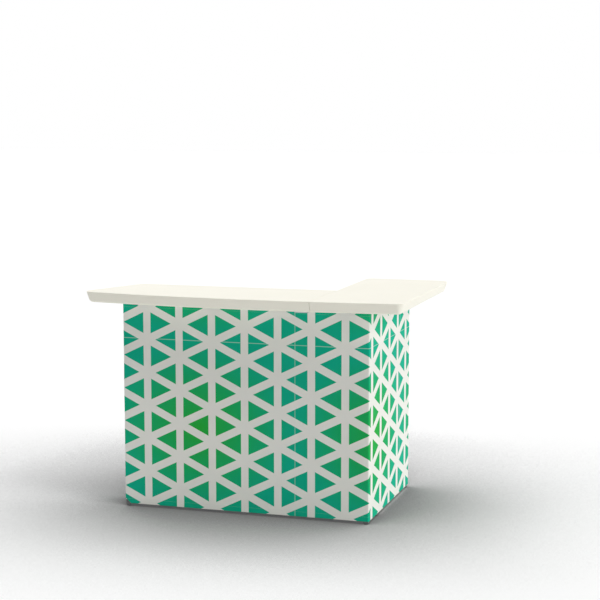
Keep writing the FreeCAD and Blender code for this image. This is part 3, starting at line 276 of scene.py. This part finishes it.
def grained(name, colours, patch_scale, grain_scale, grain_depth, roughness, metallic=0, stretch=(1, 1, 1)):
    """Hard surface: two close colours in patches, a third where edges are worn, and a fine grain."""
    paint = Paint(name)
    place = paint.scaled(paint.place(), stretch)
    patches = paint.noise(place, patch_scale, PATCH_DETAIL)
    grain = paint.noise(place, grain_scale, GRAIN_DETAIL)
    normal, edge = paint.soft_edges(EDGE_RADIUS)
    first, second, worn = colours
    wear = paint.sum("MULTIPLY", edge, paint.noise(place, WEAR_SCALE, WEAR_DETAIL))
    paint.set(Base_Color=paint.mix(wear, paint.mix(patches, first, second), worn))
    paint.set(Roughness=paint.spread(grain, *roughness), Metallic=metallic)
    paint.bump(grain, grain_depth, normal=normal)
    return paint.material


def cloth_places(paint):
    """Places along and up the cloth in metres, from its own map."""
    print_place = paint.node("ShaderNodeUVMap", uv_map="print").outputs[0]
    parts = paint.node("ShaderNodeSeparateXYZ", {0: print_place})
    return parts.outputs[0], parts.outputs[1]


def off_line(paint, value):
    """How far a value is from the nearest whole number."""
    return paint.sum("PINGPONG", value, HALF_REPEAT)


def weave_height(paint, across, along):
    """Relief of a plain weave, from places across and along the cloth."""
    waves = [off_line(paint, paint.sum("DIVIDE", way, THREAD)) for way in (across, along)]
    return paint.sum("ADD", *waves)


def stitch_dashes(paint, along, up):
    """1 on the stitches of the two level hems."""
    rows = []
    for height in (HEM_LOW + HEM_WIDTH - STITCH_WIDTH, HEM_HIGH - HEM_WIDTH + STITCH_WIDTH):
        off_row = paint.sum("ABSOLUTE", paint.sum("SUBTRACT", up, height))
        rows.append(paint.below(off_row, STITCH_WIDTH / 2, PRINT_SOFTNESS / 2))
    step = paint.sum("FRACT", paint.sum("DIVIDE", along, STITCH_LENGTH))
    dash = paint.sum("LESS_THAN", step, STITCH_SHARE)
    return paint.sum("MULTIPLY", paint.sum("MAXIMUM", *rows), dash)


def white_lines(paint, along, up):
    """1 on the white lines: upright ones, and two sets that climb or fall from column to column."""
    column = paint.sum("DIVIDE", paint.sum("SUBTRACT", along, PRINT_BAR_X), PRINT_COLUMN)
    row = paint.sum("DIVIDE", paint.sum("SUBTRACT", up, PRINT_NODE_Z), PRINT_ROW)
    climb = paint.sum("MULTIPLY", column, SLANT_SHARE)
    slant_spacing = PRINT_ROW * PRINT_COLUMN / math.hypot(PRINT_COLUMN, PRINT_ROW * SLANT_SHARE)
    lines = [
        (column, PRINT_COLUMN),
        (paint.sum("ADD", row, climb), slant_spacing),
        (paint.sum("SUBTRACT", row, climb), slant_spacing),
    ]
    gaps = [paint.sum("MULTIPLY", off_line(paint, line), spacing) for line, spacing in lines]
    nearest = paint.sum("MINIMUM", paint.sum("MINIMUM", gaps[0], gaps[1]), gaps[2])
    return paint.below(nearest, PRINT_LINE / 2, PRINT_SOFTNESS)


def triangle_print(paint, along, up):
    """Colours of the triangle grid, and a value that is 1 on the fine seams between its repeats."""
    off_middle = []
    seams = []
    for place, seam_place, size in ((along, SEAM_X, REPEAT_WIDTH), (up, SEAM_Z, REPEAT_HEIGHT)):
        off_seam = off_line(paint, paint.sum("DIVIDE", paint.sum("SUBTRACT", place, seam_place), size))
        off_middle.append(paint.sum("SUBTRACT", 1, paint.sum("DIVIDE", off_seam, HALF_REPEAT)))
        seams.append(paint.below(paint.sum("MULTIPLY", off_seam, size), SEAM_WIDTH / 2, PRINT_SOFTNESS))
    squares = [paint.sum("MULTIPLY", part, part) for part in off_middle]
    ramp = paint.node("ShaderNodeValToRGB", {"Fac": paint.sum("SQRT", paint.sum("ADD", *squares))})
    shades = ramp.color_ramp.elements
    shades[0].color = GREEN
    shades[1].color = TEAL
    shades.new(SEA_GREEN_SHARE).color = SEA_GREEN
    seam = paint.sum("MAXIMUM", *seams)
    ink = paint.mix(paint.sum("MULTIPLY", seam, SEAM_TINT_SHARE), ramp.outputs[0], CLOTH_WHITE)
    return paint.mix(white_lines(paint, along, up), ink, CLOTH_WHITE), seam


def printed_cloth():
    """Coated cloth, printed with the triangle grid."""
    paint = Paint("printed_cloth")
    along, up = cloth_places(paint)
    printed, seam = triangle_print(paint, along, up)
    stitches = stitch_dashes(paint, along, up)
    clouds = paint.noise(paint.place(), PRINTED_CLOUD_SCALE, WEAR_DETAIL)
    paint.set(
        Base_Color=paint.mix(paint.sum("MULTIPLY", stitches, STITCH_TINT_SHARE), printed, STITCH),
        Roughness=paint.spread(clouds, *PRINTED_ROUGHNESS),
        Specular_IOR_Level=0.06,
    )
    weave = paint.sum("MULTIPLY", weave_height(paint, along, up), WEAVE_RELIEF_SHARE)
    raised = paint.sum("ADD", weave, paint.sum("MULTIPLY", stitches, STITCH_RELIEF_TIMES))
    relief = paint.sum("SUBTRACT", raised, paint.sum("MULTIPLY", seam, SEAM_RELIEF_SHARE))
    paint.bump(relief, CLOTH_RELIEF, PRINTED_RELIEF_SHARE)
    return paint.material


def plain_cloth():
    """The inner side of the cloth, where the print shows through faintly."""
    paint = Paint("plain_cloth")
    along, up = cloth_places(paint)
    printed, _ = triangle_print(paint, along, up)
    clouds = paint.noise(paint.place(), LINING_CLOUD_SCALE, WEAR_DETAIL)
    lining = paint.mix(clouds, CLOTH_LINING, CLOTH_WHITE)
    paint.set(
        Base_Color=paint.mix(PRINT_THROUGH_SHARE, lining, printed),
        Roughness=paint.spread(clouds, *LINING_ROUGHNESS),
        Sheen_Weight=0.1,
        Specular_IOR_Level=0.25,
    )
    paint.bump(weave_height(paint, along, up), CLOTH_RELIEF, LINING_RELIEF_SHARE)
    return paint.material


# The cloth's edges, from the flat panels that it stands for.
FRONT_LOW, FRONT_HIGH = (Vector(corner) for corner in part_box("front_wrap_panel"))
_, LEFT_HIGH = (Vector(corner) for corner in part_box("left_wrap_panel"))
WING_LOW, WING_HIGH = (Vector(corner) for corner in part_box("wing_wrap_panel"))
LEFT, RIGHT, FRONT = FRONT_LOW.x, FRONT_HIGH.x, FRONT_LOW.y
BOX_BACK = LEFT_HIGH.y
WING_FRONT = WING_LOW.y - FLAP
HEM_LOW = FRONT_LOW.z
HEM_HIGH = FRONT_HIGH.z
HEIGHT = HEM_HIGH - HEM_LOW


def smooth_step(share):
    """Soft step from 0 to 1."""
    share = min(max(share, 0), 1)
    return share * share * (3 - 2 * share)


def spaced(length, margins):
    """Places along a length: even steps from end to end, and the margins measured from both ends."""
    count = max(round(length / CLOTH_STEP), FEWEST_STEPS)
    places = [length * number / count for number in range(count + 1)]
    for margin in margins:
        places += [margin, length - margin]
    return sorted({round(place, PLACE_DIGITS) for place in places})


class Turn:
    """A course of cloth seen from above: straight runs with round corners, and the print's place along it."""

    def __init__(self, corners, print_start):
        self.samples = []
        self.length = 0
        self.corner_places = []
        printed = print_start
        last = len(corners) - 2
        for number in range(last + 1):
            first, second = Vector(corners[number]), Vector(corners[number + 1])
            way = (second - first).normalized()
            out = Vector((way.y, -way.x))
            start = CLOTH_CORNER if number > 0 else 0
            stop = (second - first).length - (CLOTH_CORNER if number < last else 0)
            margins = (HEM_MARGINS if number in (0, last) else (0,)) + (CLIP_MARGIN,)
            for place in spaced(stop - start, margins):
                point = first + way * (start + place)
                self.samples.append((point, out, self.length + place, printed + start + place))
            self.length += stop - start
            printed += (second - first).length
            if number < last:
                following = (Vector(corners[number + 2]) - second).normalized()
                self.corner(second, way, following, printed)

    def corner(self, point, way, following, printed):
        """Round corner between two runs."""
        middle = point - way * CLOTH_CORNER + following * CLOTH_CORNER
        before = Vector((way.y, -way.x))
        after = Vector((following.y, -following.x))
        arc = CLOTH_CORNER * math.pi / 2
        for step in range(1, CORNER_STEPS):
            share = step / CORNER_STEPS
            angle = share * math.pi / 2
            out = before * math.cos(angle) + after * math.sin(angle)
            self.samples.append((middle + out * CLOTH_CORNER, out, self.length + arc * share, printed))
        self.corner_places.append(self.length + arc / 2)
        self.length += arc

    def clip(self, along, clipped_corners):
        """How far the lower edge is cut up at a place: most at a clipped corner, and nothing away from it."""
        gaps = [abs(along - self.corner_places[number]) for number in clipped_corners]
        return CLIP_HEIGHT * max(0, 1 - min(gaps, default=CLIP_WIDTH) / CLIP_WIDTH)

    def rise(self, along, row_place, up):
        """How far the outer side stands out: a raised hem along the edges, and faint ripples between."""
        edge = min(row_place, HEIGHT - row_place, along, self.length - along)
        hem = 1 - smooth_step((edge - HEM_WIDTH) / HEM_SLOPE)
        bend = SWAY_TURN * math.sin(math.tau * up / RIPPLE_SWAY)
        sway = math.sin(math.tau * along / RIPPLE_LENGTH + bend)
        return HEM_RISE * hem + RIPPLE * (1 - hem) * (1 + sway) / 2


def cloth(name, turn, clipped_corners):
    """Sheet along a turn: printed outside with hems and faint ripples, and plain on the inner side."""
    row_places = spaced(HEIGHT, HEM_MARGINS)
    made = bmesh.new()
    print_map = made.loops.layers.uv.new("print")
    outer = {}
    inner = {}
    spots = {}
    for column, (point, out, along, printed) in enumerate(turn.samples):
        clip = turn.clip(along, clipped_corners)
        inner_point = point - out * CLOTH_THICKNESS
        for row, row_place in enumerate(row_places):
            up = HEM_LOW + clip + row_place * (HEIGHT - clip) / HEIGHT
            outer_point = point + out * turn.rise(along, row_place, up)
            outer[column, row] = made.verts.new((outer_point.x, outer_point.y, up))
            inner[column, row] = made.verts.new((inner_point.x, inner_point.y, up))
            spots[column, row] = (printed, up)

    def face(corners, print_spots, side):
        """Face of the outer or inner side, with each corner's place on the print."""
        quad = made.faces.new(corners)
        quad.material_index = side
        quad.smooth = True
        for loop, spot in zip(quad.loops, print_spots):
            loop[print_map].uv = spot

    def rim(place, following, flip):
        """Edge face between the two sides, from one place of the grid to the next."""
        ring = [outer[place], outer[following], inner[following], inner[place]]
        face(ring[::-1] if flip else ring, [spots[place]] * len(ring), OUTER_SIDE)

    last_column = len(turn.samples) - 1
    last_row = len(row_places) - 1
    for column in range(last_column):
        for row in range(last_row):
            ring = [(column, row), (column + 1, row), (column + 1, row + 1), (column, row + 1)]
            face([outer[place] for place in ring], [spots[place] for place in ring], OUTER_SIDE)
            ring.reverse()
            face([inner[place] for place in ring], [spots[place] for place in ring], INNER_SIDE)
        rim((column, 0), (column + 1, 0), flip=True)
        rim((column, last_row), (column + 1, last_row), flip=False)
    for row in range(last_row):
        rim((0, row), (0, row + 1), flip=False)
        rim((last_column, row), (last_column, row + 1), flip=True)
    bmesh.ops.recalc_face_normals(made, faces=made.faces)
    mesh = bpy.data.meshes.new(name)
    made.to_mesh(mesh)
    made.free()
    mesh.set_sharp_from_angle(angle=SHARP_ANGLE)
    sheet = bpy.data.objects.new(name, mesh)
    scene.collection.objects.link(sheet)
    for material in (PRINTED_CLOTH, PLAIN_CLOTH):
        mesh.materials.append(material)
    return sheet


scene = bpy.context.scene
PRINTED_CLOTH = printed_cloth()
PLAIN_CLOTH = plain_cloth()

box_turn = Turn(
    [(LEFT, BOX_BACK), (LEFT, FRONT), (RIGHT, FRONT), (RIGHT, BOX_BACK)],
    LEFT - (BOX_BACK - FRONT),
)
box_wrap = cloth("box_wrap", box_turn, (0,))
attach(box_wrap, "box")
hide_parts("front_wrap_panel", "left_wrap_panel", "right_wrap_panel")

wing_turn = Turn(
    [(RIGHT, WING_FRONT), (RIGHT, WING_HIGH.y)],
    RIGHT + (WING_FRONT - FRONT),
)
wing_wrap = cloth("wing_wrap", wing_turn, ())
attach(wing_wrap, "wing")
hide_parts("wing_wrap_panel")

# Finishes of the carried-over pieces, by the record's material slots.
FINISHES = {
    "counter": grained(
        "counter_plastic", (CREAM, CREAM_SHADE, CREAM),
        patch_scale=5, grain_scale=700, grain_depth=0.00025, roughness=(0.4, 0.52),
    ),
    "frame": grained(
        "frame_paint", (FRAME_GREY, FRAME_GREY_DARK, FRAME_WORN),
        patch_scale=12, grain_scale=1600, grain_depth=0.0001, roughness=(0.42, 0.58),
    ),
    "connector": grained(
        "connector_nylon", (NYLON, NYLON_PALE, NYLON_WORN),
        patch_scale=40, grain_scale=1100, grain_depth=0.0001, roughness=(0.45, 0.6),
    ),
    "shelf": grained(
        "shelf_board", (SHELF, SHELF_FLECK, SHELF_WORN),
        patch_scale=160, grain_scale=900, grain_depth=0.0001, roughness=(0.5, 0.62),
    ),
    "steel": grained(
        "zinc_steel", (STEEL, STEEL_DARK, STEEL_WORN),
        patch_scale=60, grain_scale=900, grain_depth=0.00004, roughness=(0.26, 0.42),
        metallic=1, stretch=(1, 1, 0.12),
    ),
    "foot": grained(
        "foot_nylon", (FOOT, FOOT_PALE, NYLON_WORN),
        patch_scale=60, grain_scale=1300, grain_depth=0.0001, roughness=(0.5, 0.65),
    ),
    "tape": grained(
        "hook_tape", (TAPE, TAPE_PALE, TAPE_PALE),
        patch_scale=900, grain_scale=1400, grain_depth=0.0006, roughness=(0.85, 0.95),
    ),
}
for part in frame["record"]["subparts"]:
    finish = FINISHES.get(part["material_slot"])
    if finish:
        materials = frame["nodes"][part["node"]].data.materials
        materials.clear()
        materials.append(finish)

# Floor: a little light of its own, and a soft shade round the object that leans back and to the left.
FLOOR_SIZE = 120
FLOOR_GLOW_SHARE = 0.1
SHADE_REACH = 2.2
SHADE_POWER = 4
SHADE_LEAN_X = 0.22
SHADE_LEAN_Y = -0.24
SHADE_SAMPLES = 8


def floor_finish():
    """Pale floor that shows white in open light and keeps the shadow."""
    paint = Paint("floor_paint")
    lean = paint.node("ShaderNodeCombineXYZ", {"X": SHADE_LEAN_X, "Y": SHADE_LEAN_Y, "Z": 1}).outputs[0]
    open_share = paint.node(
        "ShaderNodeAmbientOcclusion", {"Distance": SHADE_REACH, "Normal": lean}, samples=SHADE_SAMPLES,
    ).outputs["AO"]
    hidden = paint.sum("SUBTRACT", 1, paint.sum("POWER", open_share, SHADE_POWER))
    seen = paint.camera_light()
    shade = paint.sum("MULTIPLY", hidden, seen)
    paint.set(Base_Color=paint.mix(shade, FLOOR, FLOOR_SHADE), Roughness=0.9, Specular_IOR_Level=0)
    paint.set(Emission_Color=WHITE, Emission_Strength=paint.sum("MULTIPLY", seen, FLOOR_GLOW_SHARE))
    return paint.material


bpy.ops.mesh.primitive_plane_add(size=FLOOR_SIZE)
floor = bpy.context.object
floor.name = "floor"
floor.data.materials.append(floor_finish())

# Light: a white background, dim for all but what the camera, mirrors and glass see, and three soft lamps.
WORLD_LIGHT = 0.1
RIGHT_ANGLE = 90

scene.view_settings.view_transform = "Standard"
world = bpy.data.worlds.new("studio")
world.use_nodes = True
scene.world = world
sky = Nodes(world.node_tree)
background = sky.tree.nodes["Background"].inputs
sky.feed(background["Color"], WHITE)
sky.feed(background["Strength"], sky.spread(sky.camera_light(), WORLD_LIGHT, 1))


def sun(name, strength, softness, azimuth, elevation):
    """Soft light from far away, with angles in degrees; azimuth is measured from +X towards +Y."""
    data = bpy.data.lights.new(name, "SUN")
    data.energy = strength
    data.angle = math.radians(softness)
    lamp = bpy.data.objects.new(name, data)
    lamp.rotation_euler = (0, math.radians(RIGHT_ANGLE - elevation), math.radians(azimuth))
    scene.collection.objects.link(lamp)


sun("overhead_light", strength=1.79, softness=70, azimuth=0, elevation=88)
sun("key_light", strength=1.63, softness=40, azimuth=-7, elevation=24)
sun("fill_light", strength=0.45, softness=40, azimuth=140, elevation=38)

# Camera at the photograph's viewing angle; angles in degrees, lens and sensor in millimetres.
CAMERA_PLACE = (2.3893, -7.1907, 1.9247)
CAMERA_YAW = 17.27
CAMERA_PITCH = 6.94
CAMERA_LENS = 94.48
SENSOR_WIDTH = 36
SIGHT_END = 200
camera_data = bpy.data.cameras.new("photo_camera")
camera_data.lens = CAMERA_LENS
camera_data.sensor_width = SENSOR_WIDTH
camera_data.clip_end = SIGHT_END
camera = bpy.data.objects.new("photo_camera", camera_data)
camera.location = CAMERA_PLACE
camera.rotation_euler = (math.radians(RIGHT_ANGLE - CAMERA_PITCH), 0, math.radians(CAMERA_YAW))
scene.collection.objects.link(camera)
scene.camera = camera
